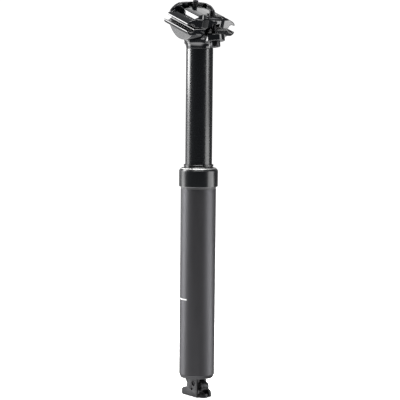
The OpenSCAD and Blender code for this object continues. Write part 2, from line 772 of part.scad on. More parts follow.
// Room that a bolt sweeps through the upper clamp as the clamp tilts, in the clamp's own frame.
module bolt_path(end) {
    reach = 2 * hood_h;
    low = path_low(end);
    high = path_high(end);
    low_side = bolt_hole_r * [cos(low), -sin(low)];
    high_side = bolt_hole_r * [cos(high), -sin(high)];
    low_way = reach * [sin(low), cos(low)];
    high_way = reach * [sin(high), cos(high)];
    upright_plate(-bolt_hole_r, bolt_hole_r) translate([end * nut_u(end), nut_w]) {
        polygon([-low_side, low_way - low_side, high_way + high_side, high_side]);
        polygon([-high_side, -high_way - high_side, low_side - low_way, low_side]);
    }
}

// Outline across the upper clamp, over the given flanks' top and down to its lips.
module clamp_outline(flank, height) {
    half = [[clamp_half_w, lip_gap / 2], for (p = flank) [clamp_half_w - p[0], height * p[1]]];
    polygon([
        for (p = half) p,
        [0, height],
        for (i = [len(half) - 1 : -1 : 0]) [-half[i][0], half[i][1]],
        [-rail_y, lip_gap / 2], [-rail_y + rail_r - 0.5, jaw_gap / 2],
        [rail_y - rail_r + 0.5, jaw_gap / 2], [rail_y, lip_gap / 2]
    ]);
}

// The upper clamp's plan, a bar with rounded ends and a prow round the front nut.
module clamp_plan() {
    half = [for (p = jaw_plan) [p[0], clamp_half_w * p[1]]];
    polygon([for (p = half) p, for (i = [len(half) - 2 : -1 : 1]) [half[i][0], -half[i][1]]]);
}

// Room over the upper clamp's front, whose top drops between two places along the rails.
module front_fall(from, to, drop) {
    upright_plate(-post_d, post_d) polygon([
        [from, crown_h + eps], [to, crown_h - drop], [to + prow_reach, crown_h - drop - prow_reach / 2],
        [to + prow_reach, 2 * hood_h], [from, 2 * hood_h]
    ]);
}

// The bar round the front nut, which stands above the sides' fall.
module nut_bar() {
    along_rails(2 * clamp_half_len) polygon([
        [nut_bar_foot, 0], [nut_bar_foot, nut_bar_foot_h],
        [nut_bar_top, nut_bar_top_h], [nut_bar_top, 2 * hood_h + 1],
        [-nut_bar_top, 2 * hood_h + 1], [-nut_bar_top, nut_bar_top_h],
        [-nut_bar_foot, nut_bar_foot_h], [-nut_bar_foot, 0]
    ]);
}

// Upper jaw of the saddle clamp, with windows for the barrel nuts and the rails' upper grooves.
module upper_clamp() {
    pocket_rear_u = rear_u + 2.4;
    pocket_len = clamp_half_len - 2.6 - pocket_rear_u;
    pocket_slope = (crown_h * 0.86 - pocket_floor) * tan(pocket_draft);
    color(gloss_black) in_clamp() difference() {
        intersection() {
            union() {
                along_rails(2 * clamp_half_len) clamp_outline(jaw_flank, crown_h);
                intersection() {
                    along_rails(2 * clamp_half_len) clamp_outline(hood_flank, hood_h);
                    upright_plate(-post_d, post_d) polygon([
                        [-2 * clamp_half_len, 0], [pocket_rear_u, 0], [pocket_rear_u, hood_h - 1.2],
                        [rear_u, hood_h + eps], [-2 * clamp_half_len, hood_h + eps]
                    ]);
                }
            }
            linear_extrude(4 * hood_h, center = true) clamp_plan();
        }
        rail_bars();
        translate([0, 0, arch_h + jaw_gap / 2 - arch_r]) rotate([0, 90, 0])
            cylinder(r = arch_r, h = 4 * clamp_half_len, center = true);
        front_fall(nut_u(1), prow_u, 2.7);
        difference() {
            front_fall(clamp_half_len - 6, clamp_half_len + 0.4, 3.7);
            nut_bar();
        }
        for (side = [-1, 1]) mirror([0, side < 0 ? 1 : 0, 0])
            translate([pocket_rear_u + pocket_len / 2, pocket_y, pocket_floor])
                along_rails(pocket_len / 2) polygon([
                    [pocket_slope, 0], [pocket_w, 0], [pocket_w, hood_h],
                    [pocket_slope - hood_h * tan(pocket_draft), hood_h]
                ]);
        for (end = [-1, 1]) mirror([end < 0 ? 1 : 0, 0, 0]) {
            translate([nut_u(end), 0, nut_w]) cross_bar(nut_r + run_gap, nut_len / 2 + run_gap);
            translate([nut_u(end) - nut_r - run_gap, -window_half_w(end), nut_w])
                cube([2 * (nut_r + run_gap), 2 * window_half_w(end), hood_h]);
        }
        for (end = [-1, 1]) bolt_path(end);
    }
}

// Socket-head clamp bolt, from below the head up through its nut.
module clamp_bolt(end) {
    socket_af = bolt_r * 2;
    color(satin_black) on_bolt(end) difference() {
        union() {
            translate([0, 0, washer_foot - bond_gap - bolt_head_h])
                cylinder(r = bolt_head_r, h = bolt_head_h);
            translate([0, 0, washer_foot - cut])
                cylinder(r = bolt_r, h = bolt_reach(end) + bolt_tail(end) - washer_foot + cut);
        }
        translate([0, 0, washer_foot - bolt_head_h - cut])
            cylinder(r = socket_af / 2 / cos(30), h = bolt_head_h * 0.6 + cut, $fn = 6);
    }
}

// Washer with a domed top that swivels in the head's dished seat.
module dished_washer(end) {
    color(satin_black) on_bolt(end) difference() {
        intersection() {
            sphere(r = dish_r);
            translate([0, 0, washer_foot]) cylinder(r = washer_r, h = dish_r);
        }
        translate([0, 0, washer_foot - cut]) cylinder(r = bolt_r + 0.1, h = dish_r + 2 * cut);
    }
}

// Cross-drilled round nut that turns in the upper clamp.
module barrel_nut(end) {
    color(bare_steel) difference() {
        translate([nut_x(end), 0, nut_z(end)]) cross_bar(nut_r, nut_len / 2);
        on_bolt(end) cylinder(r = nut_bore_r, h = 2 * bolt_reach(end));
    }
}

lower_tube();
collar();
wiper_seal();
upper_bush();
base_plug();
base_circlip();
cartridge_tube();
cartridge_inner_tube();
rod_gland();
rod_seal();
valve_block();
actuator_yoke();
lever_pivot_pin();
actuator_lever();
release_pin();
floating_piston();
floating_piston_seals();
stanchion();
foot_bush();
foot_ring();
anti_rotation_keys();
top_out_bumper();
piston_rod();
rod_lock_nut();
piston();
piston_seal();
head();
lower_cradle();
upper_clamp();
clamp_bolt(1);  // front_bolt
clamp_bolt(-1);  // rear_bolt
dished_washer(1);  // front_washer
dished_washer(-1);  // rear_washer
barrel_nut(1);  // front_barrel_nut
barrel_nut(-1);  // rear_barrel_nut
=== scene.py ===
"""Looks of a dropper seatpost: turned tubes, a forged head with its clamp, and the release yoke at the foot.

Everything is in metres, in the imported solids' frame: the post's axis is Z, and +X is the bicycle's front.
"""

import json
import math

import bmesh
import bpy
from bpy.props import FloatProperty, FloatVectorProperty, IntProperty, PointerProperty
from mathutils import Matrix, Vector


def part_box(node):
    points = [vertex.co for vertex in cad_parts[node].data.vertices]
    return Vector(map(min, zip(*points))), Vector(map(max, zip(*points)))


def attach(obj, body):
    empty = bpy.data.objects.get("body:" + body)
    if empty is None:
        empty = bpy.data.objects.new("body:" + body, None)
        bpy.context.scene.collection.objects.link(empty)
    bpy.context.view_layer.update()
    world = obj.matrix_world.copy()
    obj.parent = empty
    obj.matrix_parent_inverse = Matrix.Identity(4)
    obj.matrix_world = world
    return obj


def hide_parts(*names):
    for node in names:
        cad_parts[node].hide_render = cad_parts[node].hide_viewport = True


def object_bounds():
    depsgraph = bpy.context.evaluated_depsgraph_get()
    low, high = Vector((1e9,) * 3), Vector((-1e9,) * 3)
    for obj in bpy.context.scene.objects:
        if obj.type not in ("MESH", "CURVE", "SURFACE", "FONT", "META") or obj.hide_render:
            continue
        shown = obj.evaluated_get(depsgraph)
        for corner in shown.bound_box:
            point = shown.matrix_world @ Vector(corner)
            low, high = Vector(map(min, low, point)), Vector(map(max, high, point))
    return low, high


bl_info = {
    "name": "Dropper seatpost looks",
    "version": (1, 0, 0),
    "blender": (4, 5, 0),
    "location": "View3D > Sidebar > Seatpost",
    "description": "Finishes, turned and forged forms and a studio for a dropper seatpost",
    "category": "Object",
}

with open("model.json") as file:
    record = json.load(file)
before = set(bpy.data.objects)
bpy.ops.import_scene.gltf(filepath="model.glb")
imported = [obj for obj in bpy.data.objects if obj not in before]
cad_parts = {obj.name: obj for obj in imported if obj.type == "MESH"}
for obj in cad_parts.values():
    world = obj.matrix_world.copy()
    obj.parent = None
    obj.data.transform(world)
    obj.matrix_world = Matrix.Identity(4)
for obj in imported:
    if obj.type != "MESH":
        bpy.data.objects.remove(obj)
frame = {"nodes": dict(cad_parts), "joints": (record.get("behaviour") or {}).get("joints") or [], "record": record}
CAD_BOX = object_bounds()
NODES = frame["nodes"]
JOINTS = {joint["name"]: joint for joint in frame["joints"]}
MOUNTS = {mount["name"]: mount for mount in frame["record"]["mounts"]}
MM = 0.001
FAR = 1.0  # beyond either end of the post, for a mask that is open on one side


# Places read from the solids

def radius_of(node):
    """Half the width of a round node that stands on the post's axis."""
    low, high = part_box(node)
    return (high.x - low.x) / 2


POST_R = radius_of("lower_tube")
BORE_R = radius_of("base_plug")
FOOT_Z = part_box("lower_tube")[0].z
NECK_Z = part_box("lower_tube")[1].z
COLLAR_R = radius_of("collar")
COLLAR_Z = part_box("collar")[1].z
LIP_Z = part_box("wiper_seal")[1].z
STANCHION_R = radius_of("stanchion")
TAIL_Z, HEAD_Z = (corner.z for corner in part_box("stanchion"))
RAILS = [MOUNTS["saddle_rail_right"], MOUNTS["saddle_rail_left"]]
RAIL_R = RAILS[0]["dims"]["r_mm"] * MM
RAIL_LEN = RAILS[0]["dims"]["length_mm"] * MM
RAIL_AXIS = Vector(RAILS[0]["axis"]).normalized()
RAIL_UP = RAIL_AXIS.cross(Vector((0, 1, 0)))

# Turned details of the lower tube: its tapered foot, and the band under the collar
TAPER_H, TAPER = 3.2 * MM, 1.3 * MM
BAND_LOW, BAND_HIGH, BAND_DEPTH = -2.4 * MM, -0.35 * MM, 0.14 * MM


# Settings that a user would change

def length(name, description, default, low=0.0, high=10.0):
    """A length property in metres."""
    return FloatProperty(
        name=name, description=description, default=default, min=low, max=high, unit="LENGTH", precision=5)


def share(name, description, default):
    """A property from 0 to 1."""
    return FloatProperty(name=name, description=description, default=default, min=0, max=1, subtype="FACTOR")


def tint(name, description, default):
    """A linear colour property."""
    return FloatVectorProperty(
        name=name, description=description, default=default, min=0, max=1, size=3, subtype="COLOR")


def angle(name, description, degrees):
    """An angle property, given in degrees and kept in radians."""
    return FloatProperty(name=name, description=description, default=math.radians(degrees), subtype="ANGLE")


def passes(name, description, default):
    """A count of rounding passes."""
    return IntProperty(name=name, description=description, default=default, min=0, max=40)


def glow(name, description, default):
    """A brightness property."""
    return FloatProperty(name=name, description=description, default=default, min=0)


def power(name, description, watts):
    """A light's power in watts."""
    return FloatProperty(name=name, description=description, default=watts, min=0, unit="POWER")


class SeatpostFinish(bpy.types.PropertyGroup):
    """Colours and gloss of the post's surfaces."""

    matte_grey: tint("Matte grey", "Blasted and anodised lower tube", (0.0905, 0.0897, 0.0955))
    matte_rough: share("Matte roughness", "How dull the lower tube is", 0.46)
    # The band's grey is also set darker as painted shade under the collar.
    band_painted_shade_grey: tint("Band grey", "Turned band under the collar", (0.085, 0.085, 0.088))
    ring_bright: tint("Ring bright", "Bare metal of the collar's cut edge", (0.66, 0.66, 0.65))
    gloss_black: tint("Gloss black", "Polished stanchion, collar and head", (0.0026, 0.0034, 0.0048))
    gloss_rough: share("Gloss roughness", "How dull the polished pieces are", 0.2)
    yoke_grey: tint("Yoke grey", "Satin release yoke and lever", (0.036, 0.036, 0.0375))
    rubber_black: tint("Rubber black", "Wiper and seals", (0.013, 0.013, 0.013))
    mark_white: tint("Mark white", "Printed insertion line", (0.82, 0.82, 0.82))


class SeatpostForm(bpy.types.PropertyGroup):
    """Small sizes that the looks add to the solids."""

    forged_grain: length("Forged grain", "Grid that rounds the forged pieces", 0.32 * MM, 0.2 * MM, 1 * MM)
    forged_passes: passes("Forged passes", "Rounding passes on the head", 9)
    clamp_passes: passes("Clamp passes", "Rounding passes on the clamp", 5)
    rib_pitch: length("Rib pitch", "Distance between the rail grooves' ribs", 1.15 * MM, 0.5 * MM, 4 * MM)
    rib_height: length("Rib height", "How far the ribs stand into the rail grooves", 0.14 * MM, high=0.5 * MM)
    thread_pitch: length("Thread pitch", "Pitch of the clamp bolts' thread", 0.8 * MM, 0.5 * MM, 1.5 * MM)
    mark_z: length("Mark height", "Height of the insertion line", -100.6 * MM, low=-1.0)
    mark_width: length("Mark width", "Width of the insertion line", 1.1 * MM)
    mark_start: angle("Mark start", "Bearing at which the insertion line starts", -166)
    mark_end: angle("Mark end", "Bearing at which the insertion line ends", -74)


class SeatpostStudio(bpy.types.PropertyGroup):
    """The photographer's place and light."""

    azimuth: angle("Azimuth", "Camera's bearing about the post", 53)
    distance: length("Distance", "Camera's distance from the post's axis", 1.5)
    height: length("Height", "Camera's height above the collar's lower edge", 0.1234, low=-1.0)
    pitch: angle("Pitch", "How far the camera looks down", 5.17)
    roll: angle("Roll", "How far the camera leans", 0.55)
    aside: length("Aside", "How far right of the axis the camera aims", 1.56 * MM)
    lens: FloatProperty(name="Lens", description="Focal length in mm", default=151.8, unit="CAMERA")
    sensor: FloatProperty(name="Sensor", description="Sensor's width in mm", default=36, min=1, unit="CAMERA")
    paper_tone: share("Paper tone", "Grey of the floor and wall", 0.9)
    paper_glow: glow("Paper glow", "Own brightness of the floor and wall", 1)
    air_front: glow("Air in front", "Brightness of the air before the post", 0.08)
    air_back: glow("Air behind", "Brightness of the air behind the post", 0.45)
    air_below: glow("Air below", "Brightness that undersides mirror", 3.5)
    left_watts: power("Left lights", "Power that the lights on the left share", 15)
    right_watts: power("Right lights", "Power that the lights on the right share", 5.5)
    top_watts: power("Top lights", "Power that the lights overhead and behind share", 10)


# Shader nodes

class Value:
    """A shader socket that Python arithmetic works on."""

    def __init__(self, paint, socket):
        self.paint = paint
        self.socket = socket

    def maths(self, operation, *others):
        """One Math node on this value and the others."""
        return self.paint.node("ShaderNodeMath", {"operation": operation}, dict(enumerate((self, *others))))

    def __add__(self, other):
        return self.maths("ADD", other)

    def __sub__(self, other):
        return self.maths("SUBTRACT", other)

    def __rsub__(self, other):
        return self.paint.node("ShaderNodeMath", {"operation": "SUBTRACT"}, {0: other, 1: self})

    def __mul__(self, other):
        return self.maths("MULTIPLY", other)

    def __truediv__(self, other):
        return self.maths("DIVIDE", other)

    __radd__ = __add__
    __rmul__ = __mul__

    def within(self, low, high, soft):
        """1 between low and high, falling to 0 over soft on either side."""
        rise = ((self - low) / soft).maths("ADD", 0.5).clamped()
        fall = ((high - self) / soft).maths("ADD", 0.5).clamped()
        return rise * fall

    def clamped(self):
        """This value held between 0 and 1."""
        return self.paint.node("ShaderNodeClamp", {}, {"Value": self})

    def dot(self, vector):
        """The dot product of this vector with a fixed one."""
        kind, inputs = {"operation": "DOT_PRODUCT"}, {0: self, 1: tuple(vector)}
        return self.paint.node("ShaderNodeVectorMath", kind, inputs, "Value")


class Nodes:
    """A node tree that nodes are added to."""

    def __init__(self, tree):
        self.tree = tree

    def node(self, kind, choices, inputs, output=0):
        """A node of that kind with its settings and its sockets' values or links."""
        made = self.tree.nodes.new(kind)
        for key, value in choices.items():
            setattr(made, key, value)
        for key, value in inputs.items():
            if isinstance(value, Value):
                self.tree.links.new(value.socket, made.inputs[key])
            else:
                made.inputs[key].default_value = value
        return Value(self, made.outputs[output])


class Paint(Nodes):
    """A node material around one Principled shader."""

    def __init__(self, name, **constants):
        self.material = bpy.data.materials.new(name)
        self.material.use_nodes = True
        super().__init__(self.material.node_tree)
        self.shader = self.tree.nodes["Principled BSDF"]
        for socket, value in constants.items():
            self.set(socket.replace("_", " "), value)
        self.place = self.node("ShaderNodeTexCoord", {}, {}, "Object")

    def set(self, socket, value):
        """A value or a link on the Principled shader."""
        target = self.shader.inputs[socket]
        if isinstance(value, Value):
            self.tree.links.new(value.socket, target)
        elif target.type == "RGBA":
            target.default_value = (*value, 1)
        else:
            target.default_value = value

    def noise(self, scale, detail=3.0, stretch=(1, 1, 1)):
        """Even noise from 0 to 1, with so many grains to the metre, stretched along the axes."""
        spread = self.node("ShaderNodeMapping", {}, {"Vector": self.place, "Scale": stretch}, "Vector")
        inputs = {"Vector": spread, "Scale": scale, "Detail": detail}
        return self.node("ShaderNodeTexNoise", {}, inputs, "Fac")

    def axes(self):
        """X, Y and Z of the point that is shaded, in the row frame."""
        split = self.node("ShaderNodeSeparateXYZ", {}, {0: self.place})
        return [Value(self, out) for out in split.socket.node.outputs]

    def blend(self, factor, first, second):
        """A mix of two colours."""
        def colour(value):
            return value if isinstance(value, Value) else (*value, 1)
        inputs = {"Factor": factor, 6: colour(first), 7: colour(second)}
        return self.node("ShaderNodeMix", {"data_type": "RGBA"}, inputs, 2)

    def bump(self, height, depth):
        """A bump of that depth in metres from a height between 0 and 1."""
        inputs = {"Strength": 1.0, "Distance": depth, "Height": height}
        self.set("Normal", self.node("ShaderNodeBump", {}, inputs, "Normal"))


def lighter(colour, gain):
    """That colour times a gain."""
    return tuple(min(1, channel * gain) for channel in colour)


def shades(colour, darker, brighter):
    """That colour times two gains, as the ends of a blend."""
    return lighter(colour, darker), lighter(colour, brighter)


# Finishes

def matte_anodised(finish, form):
    """Blasted grey aluminium: a printed insertion line, a turned band under the collar that is also darkened as
    painted shade, and a foot darkened as painted shade.
    """
    paint = Paint("matte_anodised", Specular_IOR_Level=0.5)
    x, y, z = paint.axes()
    grain = paint.noise(9000, 2)
    cloud = paint.noise(120, 3, (1, 1, 0.3))
    turned = paint.noise(2600, 2, (0.02, 0.02, 1))
    # The turned band under the collar has a smoother finish of its own; its grey is also set darker as painted
    # shade under the collar.
    band = z.within(BAND_LOW + 0.3 * MM, 0, 0.2 * MM)
    bearing = y.maths("ARCTAN2", x)
    mark = z.within(form.mark_z - form.mark_width / 2, form.mark_z + form.mark_width / 2, 0.12 * MM)
    mark = mark * bearing.within(form.mark_start, form.mark_end, 0.01)
    grey = paint.blend(cloud * 0.5 + grain * 0.5, *shades(finish.matte_grey, 0.86, 1.14))
    grey = paint.blend(band, grey, finish.band_painted_shade_grey)
    # Painted shade: the foot is darkened, standing in for shade on the tube's lower edge.
    foot = z.within(-FAR, FOOT_Z + TAPER_H, 1.2 * MM)
    grey = paint.blend(foot * 0.8, grey, lighter(finish.matte_grey, 0.2))
    paint.set("Base Color", paint.blend(mark, grey, finish.mark_white))
    paint.set("Metallic", (1 - mark) * (1 - band * 0.8) * 0.85)
    rough = finish.matte_rough - 0.05 + grain * 0.06 + cloud * 0.06
    paint.set("Roughness", rough + mark * 0.1)
    paint.bump(grain * (1 - band * 0.8) + turned * (0.25 + band * 0.5), 0.012 * MM)
    return paint.material


def gloss_anodised(finish, name, turned_share, blotch=0.5, duller=0.0, ring=None):
    """Polished black aluminium; a ring is bare between its two radii, over its height."""
    paint = Paint(name, Metallic=0.0, Specular_IOR_Level=0.62, Coat_Weight=0.35, Coat_Roughness=0.14)
    turned = paint.noise(3800, 2, (0.015, 0.015, 1))
    cloud = paint.noise(90, 4)
    speck = paint.noise(2400, 2)
    tone = cloud * blotch + speck * (1 - blotch)
    black = paint.blend(tone, *shades(finish.gloss_black, 0.75, 1.35))
    bare = 0
    if ring:
        x, y, z = paint.axes()
        radius = (x * x + y * y).maths("SQRT")
        bare = radius.within(ring[0], ring[1], 0.05 * MM) * z.within(ring[2], FAR, 0.05 * MM)
        black = paint.blend(bare, black, finish.ring_bright)
        paint.set("Metallic", bare)
    paint.set("Base Color", black)
    shine = finish.gloss_rough + duller - 0.03 + cloud * 0.05 + turned * (0.05 * turned_share)
    paint.set("Roughness", shine + bare * 0.2)
    paint.bump(turned * turned_share + speck * 0.25, 0.0009 * MM)
    return paint.material


def forged_black(finish, name):
    """Polished black on a forging, which has no turning marks."""
    return gloss_anodised(finish, name, 0.0, blotch=0.7, duller=-0.06)


def satin_anodised(name, colour):
    """Tumbled dark aluminium with a fine grain."""
    paint = Paint(name, Specular_IOR_Level=0.5)
    grain = paint.noise(5200, 3)
    cloud = paint.noise(160, 3)
    paint.set("Base Color", paint.blend(cloud * 0.6 + grain * 0.4, *shades(colour, 0.75, 1.3)))
    paint.set("Metallic", 0.75 + cloud * 0.1)
    paint.set("Roughness", 0.3 + grain * 0.12 + cloud * 0.08)
    paint.bump(grain, 0.01 * MM)
    return paint.material


def rubber(finish):
    """Moulded black rubber with a slight shine."""
    paint = Paint("rubber", Specular_IOR_Level=0.9)
    grain = paint.noise(4200, 4)
    dust = paint.noise(260, 4)
    paint.set("Base Color", paint.blend(dust, finish.rubber_black, lighter(finish.rubber_black, 1.8)))
    paint.set("Roughness", 0.16 + dust * 0.1 + grain * 0.06)
    paint.bump(grain, 0.02 * MM)
    return paint.material


def steel(name, colour, rough, stretch):
    """Ground or drawn metal with fine scratches along one way."""
    paint = Paint(name, Metallic=1.0)
    scratch = paint.noise(5000, 3, stretch)
    cloud = paint.noise(200, 3)
    paint.set("Base Color", paint.blend(cloud * 0.5 + scratch * 0.5, *shades(colour, 0.8, 1.15)))
    paint.set("Roughness", rough + scratch * 0.12 + cloud * 0.06)
    paint.bump(scratch, 0.006 * MM)
    return paint.material


def bearing_plastic():
    """Moulded bush plastic with a faint fleck."""
    paint = Paint("bearing_plastic", Specular_IOR_Level=0.4)
    fleck = paint.noise(1500, 4)
    paint.set("Base Color", paint.blend(fleck, (0.42, 0.36, 0.24), (0.58, 0.51, 0.37)))
    paint.set("Roughness", 0.45 + fleck * 0.15)
    paint.bump(fleck, 0.01 * MM)
    return paint.material


# Mesh tools

def new_object(name, bm, material, body, smooth_angle=32):
    """A piece from a bmesh, shaded smooth below an angle, that rides on a body."""
    mesh = bpy.data.meshes.new(name)
    bmesh.ops.recalc_face_normals(bm, faces=bm.faces)
    bm.to_mesh(mesh)
    bm.free()
    mesh.shade_smooth()
    mesh.set_sharp_from_angle(angle=math.radians(smooth_angle))
    mesh.materials.append(material)
    piece = bpy.data.objects.new(name, mesh)
    bpy.context.scene.collection.objects.link(piece)
    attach(piece, body)
    return piece


def rounded(outline, steps=4):
    """A closed outline whose corners (a, b, radius) become arcs."""
    points = []
    count = len(outline)
    for i, (a, b, radius) in enumerate(outline):
        corner = Vector((a, b))
        before = Vector(outline[i - 1][:2]) - corner
        after = Vector(outline[(i + 1) % count][:2]) - corner
        if radius <= 0:
            points.append(corner)
            continue
        opening = before.angle(after)
        reach = min(radius / math.tan(opening / 2), before.length * 0.48, after.length * 0.48)
        first = corner + before.normalized() * reach
        last = corner + after.normalized() * reach
        for k in range(steps + 1):
            t = k / steps
            points.append(first * (1 - t) ** 2 + corner * 2 * t * (1 - t) + last * t ** 2)
    return points


def revolve(outline, steps=192):
    """A bmesh turned about Z from a closed outline of (radius, height)."""
    bm = bmesh.new()
    rings = []
    for k in range(steps):
        turn = 2 * math.pi * k / steps
        rings.append([bm.verts.new((p[0] * math.cos(turn), p[0] * math.sin(turn), p[1])) for p in outline])
    for k in range(steps):
        here, there = rings[k], rings[(k + 1) % steps]
        for i in range(len(outline)):
            j = (i + 1) % len(outline)
            bm.faces.new((here[i], there[i], there[j], here[j]))
    return bm


def node_bmesh(node):
    """A CAD node's mesh with its seams closed."""
    bm = bmesh.new()
    bm.from_mesh(NODES[node].data)
    bmesh.ops.remove_doubles(bm, verts=bm.verts, dist=0.002 * MM)
    return bm


def forged_bmesh(node, grain, rounds):
    """A CAD node's form with every edge and corner rounded, as a forging's are."""
    bm = node_bmesh(node)
    mesh = bpy.data.meshes.new(node + "_blank")
    bm.to_mesh(mesh)
    bm.free()
    blank = bpy.data.objects.new(node + "_blank", mesh)
    bpy.context.scene.collection.objects.link(blank)
    remesh = blank.modifiers.new("grid", "REMESH")
    remesh.mode = "VOXEL"
    remesh.voxel_size = grain
    smooth = blank.modifiers.new("round", "SMOOTH")
    smooth.factor = 0.5
    smooth.iterations = rounds
    bpy.context.view_layer.update()
    shaped = blank.evaluated_get(bpy.context.evaluated_depsgraph_get())
    result = bmesh.new()
    result.from_mesh(shaped.to_mesh())
    shaped.to_mesh_clear()
    bpy.data.objects.remove(blank)
    return result


def bevelled_bmesh(node, width, segments=2, sharp_angle=30):
    """A CAD node's form with its sharp edges bevelled."""
    bm = node_bmesh(node)
    bmesh.ops.dissolve_limit(bm, angle_limit=math.radians(0.4), verts=bm.verts, edges=bm.edges)
    limit = math.radians(sharp_angle)
    sharp = [e for e in bm.edges if len(e.link_faces) == 2 and e.calc_face_angle(0) > limit]
    bmesh.ops.bevel(
        bm, geom=sharp, offset=width, segments=segments, profile=0.5, affect="EDGES", clamp_overlap=True)
    return bm


def threaded_bmesh(radius, pitch, start, end, around=40, rows_per_turn=8):
    """A threaded shank along Z, from start to end."""
    depth = 0.54 * pitch
    rows = int((end - start) / pitch * rows_per_turn)
    bm = bmesh.new()
    grid = []
    for i in range(rows + 1):
        z = start + (end - start) * i / rows
        fade = min(1, (end - z) / pitch, (z - start) / pitch)
        ring = []
        for k in range(around):
            turn = 2 * math.pi * k / around
            phase = (z / pitch - k / around) % 1
            groove = max(0, 1 - abs(phase - 0.5) * 2.6)
            r = radius - depth * (groove * fade + (1 - fade) * 0.55)
            ring.append(bm.verts.new((r * math.cos(turn), r * math.sin(turn), z)))
        grid.append(ring)
    for low, high in zip(grid, grid[1:]):
        for k in range(around):
            j = (k + 1) % around
            bm.faces.new((low[k], low[j], high[j], high[k]))
    bm.faces.new(reversed(grid[0]))
    bm.faces.new(grid[-1])
    return bm


def settings(context):
    """The finish, form and studio settings."""
    scene = context.scene
    return scene.seatpost_finish, scene.seatpost_form, scene.seatpost_studio


def dress(nodes, material):
    """One finish on CAD nodes that keep their own shape."""
    for node in nodes:
        slots = NODES[node].data.materials
        slots.clear()
        slots.append(material)


# Pieces

class SEATPOST_OT_lower_tube(bpy.types.Operator):
    """Turn the lower tube, with its tapered foot and the band under the collar"""

    bl_idname = "seatpost.lower_tube"
    bl_label = "Lower tube"

    def execute(self, context):
        finish, form, _ = settings(context)
        neck_r = BORE_R + 1 * MM
        band_r, band_edge = POST_R - BAND_DEPTH, 0.1 * MM
        outline = rounded([
            (BORE_R, FOOT_Z, 0.1 * MM), (POST_R - TAPER, FOOT_Z, 0.2 * MM),
            (POST_R, FOOT_Z + TAPER_H, 0.5 * MM),
            (POST_R, BAND_LOW - band_edge, 0.1 * MM), (band_r, BAND_LOW, 0.05 * MM),
            (band_r, BAND_HIGH, 0.05 * MM), (POST_R, BAND_HIGH + band_edge, 0.05 * MM), (POST_R, 0, 0),
            (neck_r, 0, 0), (neck_r, NECK_Z, 0), (BORE_R, NECK_Z, 0),
        ])
        grey = matte_anodised(finish, form)
        tube = new_object("turned_tube", revolve(outline), grey, "lower_post")
        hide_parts("lower_tube")
        return {"FINISHED"}


class SEATPOST_OT_collar(bpy.types.Operator):
    """Turn the collar and mould the wiper that it holds"""

    bl_idname = "seatpost.collar"
    bl_label = "Collar and wiper"

    def execute(self, context):
        finish, _, _ = settings(context)
        neck_r, mouth_r = BORE_R + 1.02 * MM, BORE_R - 0.15 * MM
        edge, step_z = 0.35 * MM, COLLAR_Z - 1.6 * MM
        ring_r, ring_w = COLLAR_R - 1.2 * MM, 0.6 * MM
        outline = rounded([
            (neck_r, 0, 0), (COLLAR_R - edge, 0, 0.1 * MM), (COLLAR_R, edge, 0.2 * MM),
            (COLLAR_R, COLLAR_Z - 2.7 * MM, 0.3 * MM), (ring_r, COLLAR_Z - 1.0 * MM, 0.1 * MM),
            (ring_r - ring_w, COLLAR_Z - 0.3 * MM, 0.1 * MM), (mouth_r, COLLAR_Z, 0.15 * MM),
            (mouth_r, step_z, 0), (neck_r, step_z, 0),
        ], 6)
        bare_ring = (ring_r - ring_w, ring_r, COLLAR_Z - 1.5 * MM)
        black = gloss_anodised(finish, "gloss_collar", 0.8, duller=0.08, ring=bare_ring)
        collar = new_object("turned_collar", revolve(outline), black, "lower_post")
        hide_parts("collar")
        inner_r = STANCHION_R + 0.06 * MM
        waist_r, lip_r = inner_r + 0.65 * MM, inner_r + 1.3 * MM
        seat_r, seat_z = mouth_r - 0.05 * MM, NECK_Z + 1.5 * MM
        outline = rounded([
            (inner_r, seat_z, 0), (seat_r, seat_z, 0),
            (seat_r, COLLAR_Z - 0.1 * MM, 0.2 * MM), (waist_r, COLLAR_Z + 0.9 * MM, 0.6 * MM),
            (lip_r, LIP_Z - 1.2 * MM, 0.25 * MM), (lip_r, LIP_Z - 0.3 * MM, 0.12 * MM),
            (lip_r - 0.25 * MM, LIP_Z, 0.1 * MM), (inner_r, LIP_Z - 0.8 * MM, 0.05 * MM),
        ], 6)
        wiper = new_object("moulded_wiper", revolve(outline), rubber(finish), "lower_post", 50)
        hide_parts("wiper_seal")
        return {"FINISHED"}


class SEATPOST_OT_stanchion(bpy.types.Operator):
    """Turn and polish the stanchion"""

    bl_idname = "seatpost.stanchion"
    bl_label = "Stanchion"

    def execute(self, context):
        finish, _, _ = settings(context)
        bore_r, top_z = STANCHION_R - 1.7 * MM, HEAD_Z - 0.02 * MM
        outline = rounded([
            (bore_r, TAIL_Z, 0.2 * MM), (STANCHION_R, TAIL_Z, 0.4 * MM),
            (STANCHION_R, top_z, 0.18 * MM), (bore_r, top_z, 0),
        ])
        black = gloss_anodised(finish, "gloss_stanchion", 1.0, duller=0.05)
        tube = new_object("turned_stanchion", revolve(outline), black, "upper_post")
        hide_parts("stanchion")
        return {"FINISHED"}


class SEATPOST_OT_head(bpy.types.Operator):
    """Forge the head, with every edge rounded"""

    bl_idname = "seatpost.head"
    bl_label = "Head"

    def execute(self, context):
        finish, form, _ = settings(context)
        bm = forged_bmesh("head", form.forged_grain, form.forged_passes)
        black = forged_black(finish, "gloss_head")
        head = new_object("forged_head", bm, black, "upper_post", 180)
        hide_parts("head")
        return {"FINISHED"}


